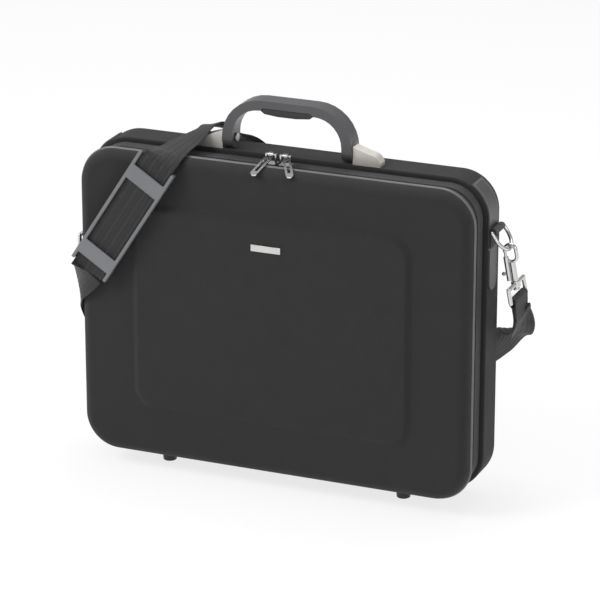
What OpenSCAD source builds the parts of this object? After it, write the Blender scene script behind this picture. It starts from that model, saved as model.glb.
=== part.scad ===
// Laptop hard case: a moulded, fabric-covered clamshell with a zip, a carry
// handle, feet and a padded shoulder strap. It stands on its feet with the lid
// towards -Y. X is the width, Z is up, and the origin is on the floor.

/* [Case] */
// Width over the piping
case_width = 440; // [400:1:480]
// Height of the case above its feet
case_height = 340; // [300:1:380]
// Radius of the corners, seen from the front
corner_radius = 40; // [36:1:50]
// Depth of the lid, from its face to the zip
lid_depth = 29; // [27:0.5:36]
// Depth of the rear half, from the zip to its back
rear_depth = 64; // [58:1:80]
// Thickness of the moulded walls
wall = 6; // [4:0.5:7]
// Radius of the lid's front edge
lid_round = 12; // [8:0.5:12]
// Radius of the rear half's back edge
rear_round = 14; // [8:0.5:16]
// Thickness of the padded lining
lining = 5; // [3:0.5:8]

/* [Lid panel] */
// Width of the raised panel
panel_width = 316; // [260:1:330]
// Height of the raised panel
panel_height = 233; // [200:1:250]
// How far the panel stands out
panel_rise = 3.5; // [2:0.5:5]
// Width of the sloping edge of the panel
panel_slope = 9; // [5:0.5:14]
// Width of the name plate
plate_width = 33; // [20:1:50]
// Height of the name plate
plate_height = 7; // [5:0.5:12]

/* [Zip] */
// Diameter of the piping
piping_size = 4.4; // [3:0.2:5]
// Distance from the lid's face to the piping
piping_depth = 14; // [13.5:0.5:15]
// Length of each slider
slider_length = 12; // [10:0.5:16]
// Length of each zip pull, from its eye to its tip
pull_length = 38; // [24:1:42]

/* [Handle] */
// Width over the handle's legs
handle_width = 145; // [125:1:170]
// Height of the handle above its pivots
handle_rise = 46; // [44:1:60]
// Depth of the handle, front to back
handle_depth = 22; // [18:1:24]
// Thickness of the legs
leg_thick = 11.5; // [9:0.5:14]
// Radius of the handle's outer corners
handle_round = 44; // [36:1:46]
// Radius of the pivot pins
pin_radius = 3; // [2.5:0.1:3.5]

/* [Feet] */
// Height of the feet
foot_height = 16; // [12:0.5:22]
// Radius of a foot where it meets the case
foot_radius = 8.4; // [7:0.1:10]
// Distance between the left and right feet
foot_spacing = 270; // [220:1:300]

/* [Rings and hooks] */
// Distance of the ring holders below the case's top
ring_drop = 53; // [45:1:90]
// Radius of the rings' and bails' wire
wire = 2; // [1.8:0.1:2.2]
// Radius of the D-ring's round end
ring_radius = 17; // [15:0.5:19]

/* [Strap] */
// Width of the webbing
strap_width = 38; // [34:1:38]
// Thickness of the webbing
strap_thick = 2; // [1.5:0.1:2.4]
// Length of the shoulder pad
pad_length = 150; // [120:1:156]
// Width over the pad's two rails
pad_width = 46; // [44:1:50]

/* [Hidden] */
$fn = 64;

// Fits
gap = 0.3;
fit = 0.05;
soft_gap = 0.3;

// The case: half sizes, the centre of its outline, and places along Y
half_w = case_width / 2;
half_h = case_height / 2;
mid_z = foot_height + half_h;
corner_x = half_w - corner_radius;
corner_z = half_h - corner_radius;
front_y = -45;
zip_y = front_y + lid_depth;
back_y = zip_y + rear_depth;
piping_y = front_y + piping_depth;
seam_y = zip_y + 17;

// Insets from the outline over the piping, which is the case's largest one
lid_inset = 1.5;
rear_inset = -0.7;
tape_inset = 4.5;
tape_thick = 1.5;
lip_inset = lid_inset + wall;
lining_inset = lip_inset + soft_gap;
rear_lining_inset = rear_inset + wall + 0.2;
lid_wall_end = piping_y - piping_size / 2 - 0.8;
flange_end = piping_y + piping_size / 2;
lip_depth = 4;
teeth_gap = 1;
teeth_width = 1;
lid_floor = front_y + wall;
rear_floor = back_y - wall;

// Level surfaces at the top and bottom
top_z = foot_height + case_height;
rear_top = top_z - rear_inset;
rear_bottom = foot_height + rear_inset;
tape_top = top_z - tape_inset;
tape_bottom = foot_height + tape_inset;
side_x = half_w - rear_inset;

// The zip's teeth stop at the hinge, which takes the straight part of the bottom
hinge_half = corner_x - 5;
strip_thick = 1.2;

// Elastic band across the rear compartment
band_width = 32;
band_thick = 1.6;
band_y = 10;

// The document pocket's distance from the lid's sides, bottom and top
pocket_side = 60;
pocket_low = 35;
pocket_open = 95;

// Sliders: place along X at rest, and the way each pull leans from straight ahead
slider_x = [-10, 6];
pull_lean = [10, -28];
bridge_z = tape_top + 11.6;
pull_droop = 20;
pull_size = [8, 1.6];
eye_radius = 2.6;
bridge_radius = 1.2;

// Handle
handle_y = 10.5;
pivot_z = rear_top + handle_depth / 2 + 0.6;
handle_top = pivot_z + handle_rise;
leg_outer = handle_width / 2;
leg_inner = leg_outer - leg_thick;
bridge_thick = 11;
inner_round = handle_round - 14;
inner_top = handle_top - bridge_thick;
grip_half = leg_inner - inner_round - 1;
grip_recess = 3;
bracket_length = 30;
bracket_height = 19;
bracket_depth = 14;
bracket_y = handle_y - 1.5;
bracket_start = leg_outer + gap;
handle_plate_depth = 11;

// Feet
foot_x = foot_spacing / 2;
foot_front_y = -4.5;
foot_rear_y = back_y - rear_round - foot_radius + 2;
foot_top = rear_bottom;
tab_front = -13.5;
screw_radius = 1.6;

// Ring, hook and bail. The hook and the bail share a frame of their own.
chain_y = 16;
patch_half = 14;
patch_thick = 1.5;
patch_drop = 66;
tab_radius = 11;
holder_radius = wire + 1.9;
bar_x = side_x + patch_thick + holder_radius;
bar_z = top_z - ring_drop;
ring_leg = 7;
hang = ring_leg + ring_radius;
eye_half = 6;
eye_top = 2 * wire + 0.2;
eye_drop = 14;
bolt_radius = 1.5;
barrel_top = 8.4;
barrel_end = 33.8;
shank_end = 34.3;
bail_level = 37.4;
bail_bar = 52;
bail_half = 23;
bail_wire = wire + 0.2;
sleeve_radius = bail_wire + gap + strap_thick;

// The right ring and hook are pulled out further than the left ones
function ring_tilt(side) = side > 0 ? 35.5 : 20;
function chain_tilt(side) = side > 0 ? 11 : 3;
function chain_x(side) = bar_x + hang * sin(ring_tilt(side));
function chain_z(side) = bar_z - hang * cos(ring_tilt(side));
function bail_x(side) = chain_x(side) + (bail_bar + sleeve_radius + gap) * sin(chain_tilt(side));
function bail_z(side) = chain_z(side) - (bail_bar + sleeve_radius + gap) * cos(chain_tilt(side));

// The shoulder pad's middle, and the straight line that it lies along
pad_middle = [-162, -54, top_z - 67.5];
pad_angle = 57.2;
function along_pad(s) = pad_middle + s * [cos(pad_angle), 0, sin(pad_angle)];

// The strap's route: the middle of the webbing and the way its width points,
// from the left bail round the front and over the top to the right bail. Below
// the left bail the webbing folds up on itself once. Heights are counted down
// from the case's top.
function below_top(x, y, down) = [x, y, top_z - down];
strap_route = [
    [[-bail_x(-1), 16, bail_z(-1)], [0, -1, 0]],
    [below_top(-236.7, 16, 142), [0, -1, 0]],
    [below_top(-235, 16, 161), [0, -1, 0]],
    [below_top(-231, 13, 191), [0, -1, 0]],
    [below_top(-228.6, 12, 228), [0, -1, 0]],
    [below_top(-228.2, 12, 238), [0, -1, 0]],
    [below_top(-225.3, 12, 242), [0, -1, 0]],
    [below_top(-222.6, 12, 238), [0, -1, 0]],
    [below_top(-222.6, 11.5, 228), [0, -1, -0.08]],
    [below_top(-222.8, 5, 210), [0, -0.92, -0.4]],
    [below_top(-223.6, -12, 184), [0, -0.84, -0.54]],
    [below_top(-225.4, -24, 168), [0.2, -0.8, -0.55]],
    [below_top(-223.6, -36.6, 156), [0.5, -0.62, -0.6]],
    [below_top(-214.5, -47, 144.5), [0.74, -0.32, -0.57]],
    [along_pad(-pad_length / 2 - 5), [0.84, 0, -0.54]],
    [along_pad(-pad_length / 2 - 1), [0.84, 0, -0.54]],
    [along_pad(-pad_length / 3), [0.84, 0, -0.54]],
    [along_pad(0), [0.84, 0, -0.54]],
    [along_pad(pad_length / 3), [0.84, 0, -0.54]],
    [along_pad(pad_length / 2 + 1), [0.84, 0, -0.54]],
    [below_top(-117, -44, -2), [0.95, -0.15, -0.25]],
    [below_top(-114.5, -28, -3.5), [0.95, -0.3, 0]],
    [[-plate_half() - 5.7, -4, rear_top + 7.3], [0.87, -0.48, 0.1]],
    [[4.3 - plate_half(), 22, rear_top + 15.6], [0.64, -0.68, 0.3]],
    [[10.8 - plate_half(), 37, rear_top + 12.8], [0.66, -0.65, 0.3]],
    [below_top(-76, 51, -2), [0.75, -0.45, 0]],
    [below_top(-58, 55, 18), [0.68, -0.15, 0.5]],
    [below_top(-35, 52, 42), [0.6, 0, 0.8]],
    [below_top(60, 51.5, 131), [0.6, 0, 0.8]],
    [below_top(110, 53, 180), [0.66, 0.15, 0.74]],
    [below_top(150, 60, 213), [0.75, 0.45, 0.5]],
    [below_top(184, 69, 224), [0.66, 0.75, 0.1]],
    [below_top(209, 74, 208), [0.3, 0.85, -0.4]],
    [below_top(228, 64, 184), [0, 0.8, -0.6]],
    [below_top(245, 33, 161), [0, 0.93, -0.35]],
    [below_top(252.2, 16, 144), [0, 1, 0]],
    [below_top(251.6, 16, 136), [0, 1, 0]],
    [[bail_x(1), 16, bail_z(1)], [0, 1, 0]]];
front_from = 10;
back_from = 25;
route_steps = 4;

// Shoulder pad
pad_thick = 4;
rail_width = (pad_width - strap_width) / 2 - gap;
rail_height = 5;
crossbar_at = [-56, 49.5];
crossbar_width = 18;
crossbar_thick = 2.2;

// ---------------------------------------------------------------- helpers

// Sweeps an outline round a rounded rectangle in XZ. The outline's x is the
// distance out from the corner's axis and its y is the place along Y.
module rim(cx, cz, z) {
    for (side = [0:3]) {
        across = side % 2 == 0 ? cx : cz;
        along = side % 2 == 0 ? cz : cx;
        translate([0, 0, z]) rotate([0, -90 * side, 0]) {
            translate([across, 0, -along]) linear_extrude(2 * along) children();
            translate([across, 0, along]) rotate([-90, 0, 0]) rotate([0, 0, -90])
                rotate_extrude(angle = 90) children();
        }
    }
}

// A block of the case's straight middle, between two places along Y
module core(cx, cz, z, y0, y1) {
    translate([-cx, y0, z - cz]) cube([2 * cx, y1 - y0, 2 * cz]);
}

// Points of an arc in degrees, about a centre
function arc(c, r, from, to, n) =
    [for (i = [0:n]) let (a = from + (to - from) * i / n) [c[0] + r * cos(a), c[1] + r * sin(a)]];

// The distance out from the corner's axis at an inset from the case's outline
function out(inset) = corner_radius - inset;

// A flat ring of the case's outline, between two insets and two places along Y
module hoop(inset0, inset1, y0, y1) {
    rim(corner_x, corner_z, mid_z)
        translate([out(inset1), y0]) square([inset1 - inset0, y1 - y0]);
}

// A rod along X, from x0 to x1
module rod_x(x0, x1, y, z, r) {
    translate([x0, y, z]) rotate([0, 90, 0]) cylinder(h = x1 - x0, r = r);
}

// A rod along Y, from y0 to y1
module rod_y(y0, y1, x, z, r) {
    translate([x, y0, z]) rotate([-90, 0, 0]) cylinder(h = y1 - y0, r = r);
}

// Copies to the left side
module on_side(side) {
    if (side > 0) children();
    else mirror([1, 0, 0]) children();
}

// ---------------------------------------------------------------- rear half

module rear_shell() {
    o = out(rear_inset);
    edge = 2.5;
    color([0.10, 0.10, 0.11]) difference() {
        union() {
            rim(corner_x, corner_z, mid_z) polygon(concat(
                [[out(lip_inset), seam_y]],
                arc([o - edge, seam_y + edge], edge, -90, 0, 4),
                arc([o - rear_round, back_y - rear_round], rear_round, 0, 90, 8),
                [[0, back_y], [0, rear_floor], [o - wall, rear_floor],
                 [o - wall, seam_y + lip_depth], [out(lip_inset), seam_y + lip_depth]]));
            core(corner_x, corner_z, mid_z, rear_floor, back_y);
            for (side = [-1, 1]) translate([side * foot_x - 11, tab_front, rear_bottom])
                cube([22, seam_y + 5 - tab_front, tape_bottom - strip_thick - rear_bottom]);
        }
        for (x = [-foot_x, foot_x], y = [foot_front_y, foot_rear_y])
            translate([x, y, rear_bottom - 1]) cylinder(h = wall + 2, r = screw_radius + fit);
        for (x = bracket_screw_x(), side = [-1, 1])
            translate([side * x, bracket_y, rear_top - wall - 1])
                cylinder(h = wall + 2, r = screw_radius + fit);
    }
}

function bracket_screw_x() = [bracket_start + 7, bracket_start + 21];

module zip_tape(y0, y1) {
    hoop(tape_inset, tape_inset + tape_thick, y0, y1);
}

// One row of teeth, as a raised rib along the tape's edge, open at the hinge
module zip_teeth(y0) {
    difference() {
        hoop(tape_inset - 0.4, tape_inset + tape_thick + 0.1, y0, y0 + teeth_width);
        translate([-hinge_half, y0 - 1, 0]) cube([2 * hinge_half, teeth_width + 2, mid_z]);
    }
}

module rear_zip_tape() {
    color([0.16, 0.16, 0.17]) zip_tape(zip_y + teeth_gap / 2 + teeth_width, seam_y);
}

module rear_zip_teeth() {
    color([0.05, 0.05, 0.05]) zip_teeth(zip_y + teeth_gap / 2);
}

// Foam panel on the floor of a half, as a rounded plate between two places
module floor_panel(inset, y0, y1) {
    rim(corner_x, corner_z, mid_z) translate([0, y0]) square([out(inset), y1 - y0]);
    core(corner_x, corner_z, mid_z, y0, y1);
}

// Foam panel along one straight wall: the outline's x is the distance out from
// the corner's axis. Walls are counted from the right, anticlockwise.
module wall_panel(turn) {
    across = turn % 2 == 0 ? corner_x : corner_z;
    along = turn % 2 == 0 ? corner_z : corner_x;
    translate([0, 0, mid_z]) rotate([0, -90 * turn, 0])
        translate([across, 0, -along]) linear_extrude(2 * along) children();
}

module rear_lining() {
    color([0.30, 0.30, 0.32])
        floor_panel(rear_lining_inset, rear_floor - lining - 0.2, rear_floor - 0.2);
}

// The rear half's wall panels step out behind the seam's lip. The top one has
// room for the handle's plate and its screws.
module rear_pad(turn) {
    step_y = seam_y + lip_depth + 0.2;
    color([0.30, 0.30, 0.32]) difference() {
        wall_panel(turn) polygon([
            [out(lining_inset + lining), zip_y + 1], [out(lining_inset), zip_y + 1],
            [out(lining_inset), step_y], [out(rear_lining_inset), step_y],
            [out(rear_lining_inset), rear_floor - lining - 0.2],
            [out(lining_inset + lining), rear_floor - lining - 0.2]]);
        translate([-plate_half() - 1, bracket_y - 8, rear_top - wall - 3.6])
            cube([2 * plate_half() + 2, 16, 5]);
    }
}

function plate_half() = bracket_start + bracket_length;

// Elastic band across the rear compartment, which holds the computer
module elastic_band() {
    reach = half_w - lining_inset - lining;
    color([0.08, 0.08, 0.09]) translate([-reach, band_y, mid_z - band_width / 2])
        cube([2 * reach, band_thick, band_width]);
}

// Fabric hinge along the bottom, outside both tapes
module hinge_strip() {
    color([0.07, 0.07, 0.08])
        translate([-hinge_half, flange_end, tape_bottom - strip_thick])
            cube([2 * hinge_half, seam_y - 0.2 - flange_end, strip_thick]);
}

// ---------------------------------------------------------------- handle

module handle_plate() {
    color("silver") difference() {
        translate([-plate_half(), seam_y + lip_depth + gap, rear_top - wall - 1.5])
            cube([2 * plate_half(), handle_plate_depth, 1.5]);
        for (x = bracket_screw_x(), side = [-1, 1])
            translate([side * x, bracket_y, rear_top - wall - 3])
                cylinder(h = 4, r = screw_radius + fit);
    }
}

module bracket_screws() {
    color("silver") for (x = bracket_screw_x(), side = [-1, 1])
        translate([side * x, bracket_y, rear_top - wall - 1.5]) {
            cylinder(h = wall + 6, r = screw_radius);
            translate([0, 0, -1.5]) cylinder(h = 1.5, r = 3.2);
        }
}

// Cap outside the handle's leg, sloping down outwards to a rounded nose
module bracket(side) {
    nose = [12, 11];
    color([0.78, 0.76, 0.72]) on_side(side) difference() {
        translate([bracket_start, bracket_y + bracket_depth / 2, rear_top])
            rotate([90, 0, 0]) linear_extrude(bracket_depth) polygon(concat(
                [[0, 0], [bracket_length, 0]],
                [for (a = [0:11.25:90])
                    [bracket_length - nose[0] + nose[0] * cos(a), 2 + nose[1] * sin(a)]],
                [[0, bracket_height]]));
        rod_x(bracket_start - 1, bracket_start + 12, handle_y, pivot_z, pin_radius + 0.02);
        for (x = bracket_screw_x())
            translate([x, bracket_y, rear_top - 1]) cylinder(h = 6.2, r = screw_radius + fit);
    }
}

module handle_pin(side) {
    color("silver") on_side(side) {
        rod_x(leg_inner - gap, bracket_start + 12, handle_y, pivot_z, pin_radius);
        rod_x(leg_inner - gap - 1.6, leg_inner - gap, handle_y, pivot_z, pin_radius + 1.6);
    }
}

module handle_frame() {
    outline = concat(
        [[leg_inner, pivot_z], [leg_outer, pivot_z]],
        arc([leg_outer - handle_round, handle_top - handle_round], handle_round, 0, 90, 8),
        arc([handle_round - leg_outer, handle_top - handle_round], handle_round, 90, 180, 8),
        [[-leg_outer, pivot_z], [-leg_inner, pivot_z]],
        arc([inner_round - leg_inner, inner_top - inner_round], inner_round, 180, 90, 8),
        [[-grip_half, inner_top], [4 - grip_half, inner_top + grip_recess],
         [grip_half - 4, inner_top + grip_recess], [grip_half, inner_top]],
        arc([leg_inner - inner_round, inner_top - inner_round], inner_round, 90, 0, 8));
    color([0.22, 0.22, 0.24]) difference() {
        union() {
            translate([0, handle_y + handle_depth / 2, 0]) rotate([90, 0, 0])
                linear_extrude(handle_depth) polygon(outline);
            for (side = [-1, 1]) on_side(side)
                rod_x(leg_inner, leg_outer, handle_y, pivot_z, handle_depth / 2);
        }
        for (side = [-1, 1]) on_side(side)
            rod_x(leg_inner - 1, leg_outer + 1, handle_y, pivot_z, pin_radius + fit);
    }
}

// Soft grip insert, let in under the handle's bridge
module handle_grip() {
    depth = handle_depth - 2;
    color([0.12, 0.12, 0.13])
        translate([0, handle_y + depth / 2, 0]) rotate([90, 0, 0]) linear_extrude(depth)
            polygon([[-grip_half, inner_top], [4 - grip_half, inner_top + grip_recess],
                     [grip_half - 4, inner_top + grip_recess], [grip_half, inner_top],
                     [grip_half - 5, inner_top - 3.5], [grip_half / 3, inner_top - 5],
                     [-grip_half / 3, inner_top - 5], [5 - grip_half, inner_top - 3.5]]);
}

// ---------------------------------------------------------------- sides

// Smooth reinforcing patch on the side and over the top corner
module side_patch(side) {
    r = out(rear_inset);
    low = bar_z - patch_drop;
    color([0.20, 0.20, 0.21]) on_side(side) {
        translate([side_x, 0, 0]) rotate([90, 0, 90]) linear_extrude(patch_thick) union() {
            translate([chain_y - patch_half, bar_z - 20])
                square([2 * patch_half, mid_z + corner_z - bar_z + 20.5]);
            translate([chain_y - tab_radius, low + tab_radius])
                square([2 * tab_radius, patch_drop - 19 - tab_radius]);
            translate([chain_y, low + tab_radius]) circle(r = tab_radius);
        }
        translate([corner_x, chain_y - patch_half, mid_z + corner_z])
            rotate([-90, 0, 0]) rotate([0, 0, -58]) rotate_extrude(angle = 58)
                translate([r, 0]) square([patch_thick, 2 * patch_half]);
    }
}

// Folded loop that holds the D-ring's bar, sewn to the patch
module ring_holder(side) {
    width = 26;
    color([0.06, 0.06, 0.07]) on_side(side) difference() {
        union() {
            rod_y(chain_y - width / 2, chain_y + width / 2, bar_x, bar_z, holder_radius);
            translate([side_x + patch_thick, chain_y - width / 2, bar_z - 18])
                cube([1.6, width, 18]);
        }
        rod_y(chain_y - width, chain_y + width, bar_x, bar_z, wire + 0.08);
    }
}

module d_ring(side) {
    color("silver") on_side(side)
        translate([bar_x, chain_y, bar_z]) rotate([0, -ring_tilt(side), 0]) {
            rod_y(-ring_radius, ring_radius, 0, 0, wire);
            for (y = [-ring_radius, ring_radius]) translate([0, y, -ring_leg]) {
                cylinder(h = ring_leg, r = wire);
                translate([0, 0, ring_leg]) sphere(r = wire);
            }
            translate([0, 0, -ring_leg]) rotate([0, 90, 0]) rotate([0, 0, -90])
                rotate_extrude(angle = 180) translate([ring_radius, 0]) circle(r = wire);
        }
}

// The frame of the hook: its origin is the ring's wire, and -Z runs down the hook
module hook_frame(side) {
    on_side(side) translate([chain_x(side), chain_y, chain_z(side)])
        rotate([0, -chain_tilt(side), 0]) children();
}

module hook(side) {
    low = eye_drop - eye_half;
    high = eye_top - eye_half;
    color("silver") hook_frame(side) {
        difference() {
            union() {
                translate([0, 0, high]) rotate([90, 0, 0])
                    rotate_extrude(angle = 180) translate([eye_half, 0]) circle(r = wire);
                translate([0, 0, -low]) rotate([90, 0, 0]) rotate([0, 0, 180])
                    rotate_extrude(angle = 180) translate([eye_half, 0]) circle(r = wire);
                translate([eye_half, 0, -low]) cylinder(h = low + high, r = wire);
                translate([-eye_half, 0, high - 1.4]) cylinder(h = 1.4, r = wire);
                translate([-eye_half, 0, -barrel_end])
                    cylinder(h = barrel_end - barrel_top, r = wire + 0.8);
                translate([0, 0, -shank_end]) cylinder(h = shank_end - eye_drop, r = 3.3);
            }
            translate([-eye_half, 0, 1 - barrel_end])
                cylinder(h = barrel_end, r = bolt_radius + fit);
            translate([-eye_half - 5, -1.2, -barrel_end + 1]) cube([5, 2.4, 9.6]);
        }
        translate([0, 0, -shank_end - 8.2]) cylinder(h = 8.3, r = 2.2);
        translate([0, 0, -shank_end - 9.4]) cylinder(h = 1.3, r = 3.6);
    }
}

// Sliding bolt that closes the hook, with its thumb knob
module bolt(side) {
    top = eye_half - eye_top + 1.6;
    color([0.6, 0.6, 0.62]) hook_frame(side) {
        translate([-eye_half, 0, -27.4]) cylinder(h = 27.4 - top, r = bolt_radius);
        translate([-eye_half, 0, -26.4]) rotate([0, -90, 0]) rotate_extrude()
            polygon([[0, 0], [0.9, 0], [0.9, 3.2], [1.6, 3.6], [2.1, 4.6], [2, 6], [1.3, 7],
                     [0, 7.2]]);
    }
}

// Spring under the bolt, as the plain tube that its turns fill
module bolt_spring(side) {
    color([0.5, 0.5, 0.5]) hook_frame(side)
        translate([-eye_half, 0, 1 - barrel_end]) difference() {
            cylinder(h = barrel_end - 1 - 27.4, r = 1.3);
            translate([0, 0, -1]) cylinder(h = 10, r = 0.8);
        }
}

// Swivelling bail that carries the webbing
module bail(side) {
    color("silver") hook_frame(side) {
        difference() {
            union() {
                translate([0, 0, -40.4]) cylinder(h = 5.8, r = 5);
                rod_y(-bail_half, bail_half, 0, -bail_level, bail_wire);
            }
            translate([0, 0, -42]) cylinder(h = 10, r = 2.2 + fit);
        }
        rod_y(-bail_half, bail_half, 0, -bail_bar, bail_wire);
        for (y = [-bail_half, bail_half]) {
            translate([0, y, -bail_bar]) cylinder(h = bail_bar - bail_level, r = bail_wire);
            for (s = [bail_level, bail_bar]) translate([0, y, -s]) sphere(r = bail_wire);
        }
    }
}

// ---------------------------------------------------------------- feet

module foot(side, y) {
    color([0.05, 0.05, 0.05]) translate([side * foot_x, y, 0]) difference() {
        cylinder(h = foot_top, r1 = foot_radius - 1.1, r2 = foot_radius);
        translate([0, 0, -1]) cylinder(h = 6, r = 3.8);
        cylinder(h = foot_top + 1, r = screw_radius + fit);
    }
}

module foot_screws() {
    color("silver") for (x = [-foot_x, foot_x], y = [foot_front_y, foot_rear_y])
        translate([x, y, 0]) {
            translate([0, 0, 3]) cylinder(h = 2, r = 3.4);
            translate([0, 0, 5])
                cylinder(h = tape_bottom - strip_thick - 0.2 - 5, r = screw_radius);
        }
}

// ---------------------------------------------------------------- lid

module lid_shell() {
    o = out(lid_inset);
    px = panel_width / 2 - corner_radius * 0.65;
    pz = panel_height / 2 - corner_radius * 0.65;
    edge = corner_radius * 0.65;
    color([0.10, 0.10, 0.11]) {
        rim(corner_x, corner_z, mid_z) polygon(concat(
            [[0, front_y]],
            arc([o - lid_round, front_y + lid_round], lid_round, -90, 0, 8),
            [[o, lid_wall_end], [out(tape_inset), lid_wall_end], [out(tape_inset), flange_end],
             [out(lip_inset), flange_end], [out(lip_inset), lid_floor], [0, lid_floor]]));
        core(corner_x, corner_z, mid_z, front_y, lid_floor);
        rim(px, pz, panel_z()) polygon([[0, front_y + 2], [edge, front_y + 2], [edge, front_y],
            [edge - panel_slope, front_y - panel_rise], [0, front_y - panel_rise]]);
        core(px, pz, panel_z(), front_y - panel_rise, front_y + 2);
    }
}

function panel_z() = mid_z + 1.5;

module lid_piping() {
    color([0.45, 0.45, 0.46]) rim(corner_x, corner_z, mid_z)
        translate([out(piping_size / 2), piping_y]) circle(r = piping_size / 2 - 0.02, $fn = 24);
}

module lid_zip_tape() {
    color([0.16, 0.16, 0.17]) zip_tape(flange_end, zip_y - teeth_gap / 2 - teeth_width);
}

module lid_zip_teeth() {
    color([0.05, 0.05, 0.05]) zip_teeth(zip_y - teeth_gap / 2 - teeth_width);
}

module lid_lining() {
    color([0.30, 0.30, 0.32]) floor_panel(lining_inset, lid_floor + 0.2, lid_floor + 0.2 + lining);
}

module lid_pad(turn) {
    y0 = lid_floor + 0.2 + lining;
    color([0.30, 0.30, 0.32]) wall_panel(turn)
        translate([out(lining_inset + lining), y0]) square([lining, zip_y - 1 - y0]);
}

// Document pocket: a panel held off the lining along its sides and bottom
module lid_pocket() {
    y0 = lid_floor + 0.2 + lining;
    width = case_width - 2 * pocket_side;
    height = case_height - pocket_low - pocket_open;
    depth = 7;
    sheet = 1.2;
    color([0.05, 0.05, 0.06]) translate([-width / 2, y0, foot_height + pocket_low]) {
        translate([0, depth - sheet, 0]) cube([width, sheet, height]);
        cube([width, depth, sheet]);
        for (x = [0, width - sheet]) translate([x, 0, 0]) cube([sheet, depth, height]);
    }
}

module name_plate() {
    thick = 1.2;
    color("silver") translate([-3, front_y - panel_rise, panel_z() + panel_height / 2 - 33])
        rotate([90, 0, 0]) linear_extrude(thick)
            square([plate_width, plate_height], center = true);
}

// ---------------------------------------------------------------- sliders

module slider(x) {
    plate_top = tape_top + 2.8;
    color("silver") translate([x, zip_y, 0]) {
        translate([-slider_length / 2, -5.5, tape_top + 0.8]) cube([slider_length, 11, 2]);
        translate([-slider_length / 2, -5.5, tape_top - 3]) cube([slider_length, 11, 1]);
        translate([-3, -0.35, tape_top - 2.5]) cube([6, 0.7, 4]);
        for (s = [-1, 1]) translate([s * (slider_length / 2 - 0.8) - 0.8, -1.8, plate_top - 0.5])
            cube([1.6, 3.6, bridge_z + bridge_radius - plate_top + 0.5]);
        rod_x(-slider_length / 2 + 1, slider_length / 2 - 1, 0, bridge_z, bridge_radius);
    }
}

// Flat pull with a long slot, hung on the slider's bridge and drooping forwards
module pull(x, lean) {
    color("silver") translate([x, zip_y, bridge_z]) difference() {
        union() {
            rod_x(-2.6, 2.6, 0, 0, eye_radius);
            rotate([pull_droop, 0, 0]) rotate([0, 0, -lean])
                translate([0, 0, -pull_size[1] / 2]) linear_extrude(pull_size[1])
                    difference() {
                        union() {
                            translate([-2, -8]) square([4, 8]);
                            translate([-pull_size[0] / 2, 4 - pull_length])
                                square([pull_size[0], pull_length - 10]);
                            translate([0, 4 - pull_length]) circle(r = 4);
                            translate([0, -7]) circle(r = 4);
                        }
                        translate([-1.6, 7 - pull_length]) square([3.2, pull_length - 17]);
                    }
        }
        rod_x(-8, 8, 0, 0, bridge_radius + 0.08);
    }
}

// ---------------------------------------------------------------- strap

// Catmull-Rom value between b and c
function curve(a, b, c, d, t) =
    0.5 * ((2 * b) + (c - a) * t + (2 * a - 5 * b + 4 * c - d) * t * t
           + (3 * b - a - 3 * c + d) * t * t * t);

function smooth(route, k) = let (last = len(route) - 1) [
    for (i = [0:last - 1], s = [0:route_steps - 1])
        curve(route[max(i - 1, 0)][k], route[i][k], route[i + 1][k],
              route[min(i + 2, last)][k], s / route_steps),
    route[last][k]];

function unit(v) = v / norm(v);

// The four corners of the webbing's section at each step of its path
function webbing_corners(path, across, width, thick) = let (last = len(path) - 1) [
    for (i = [0:last])
        let (t = unit(path[min(i + 1, last)] - path[max(i - 1, 0)]),
             w = unit(across[i] - (across[i] * t) * t),
             n = cross(w, t) * thick / 2,
             h = w * width / 2)
        [path[i] - h - n, path[i] + h - n, path[i] + h + n, path[i] - h + n]];

// A stretch of webbing as one closed solid, between two points of the route
module webbing(first, last) {
    corners = webbing_corners(smooth(strap_route, 0), smooth(strap_route, 1), strap_width, strap_thick);
    count = (last - first) * route_steps;
    points = [for (i = [0:count], q = corners[first * route_steps + i]) q];
    sides = [for (i = [0:count - 1], k = [0:3])
        let (a = 4 * i + k, b = 4 * i + (k + 1) % 4, c = a + 4, d = b + 4)
            each k == 2 ? [[a, b, c], [b, d, c]] : [[a, b, d], [a, d, c]]];
    end = 4 * count;
    caps = [[2, 1, 0], [3, 2, 0], [end, end + 1, end + 2], [end, end + 2, end + 3]];
    color([0.03, 0.03, 0.03])
        polyhedron(points = points, faces = concat(sides, caps), convexity = 6);
}

// End of the webbing, sewn round the bail's bar
module strap_loop(side) {
    color([0.03, 0.03, 0.03]) hook_frame(side) difference() {
        rod_y(-strap_width / 2, strap_width / 2, 0, -bail_bar, sleeve_radius);
        rod_y(-strap_width, strap_width, 0, -bail_bar, bail_wire + gap);
    }
}

// The pad's frame of reference: X along the pad, Y across it, Z away from the case
module on_pad() {
    translate(pad_middle) rotate([0, -pad_angle, 0]) rotate([90, 0, 0]) children();
}

// Soft pad between the webbing and the case
module shoulder_pad() {
    color([0.08, 0.08, 0.09]) on_pad()
        translate([-pad_length / 2, -pad_width / 2, -strap_thick / 2 - pad_thick])
            cube([pad_length, pad_width, pad_thick]);
}

// Ladder-shaped moulding over the webbing
module pad_frame() {
    rail_y = pad_width / 2 - rail_width / 2;
    color([0.55, 0.56, 0.58]) on_pad() {
        for (s = [-1, 1]) {
            translate([-pad_length / 2, s * rail_y - rail_width / 2, -strap_thick / 2])
                cube([pad_length, rail_width, rail_height]);
        }
        for (x = crossbar_at)
            translate([x - crossbar_width / 2, -rail_y, rail_height - crossbar_thick - 1])
                cube([crossbar_width, 2 * rail_y, crossbar_thick]);
    }
}

// ---------------------------------------------------------------- nodes

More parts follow.
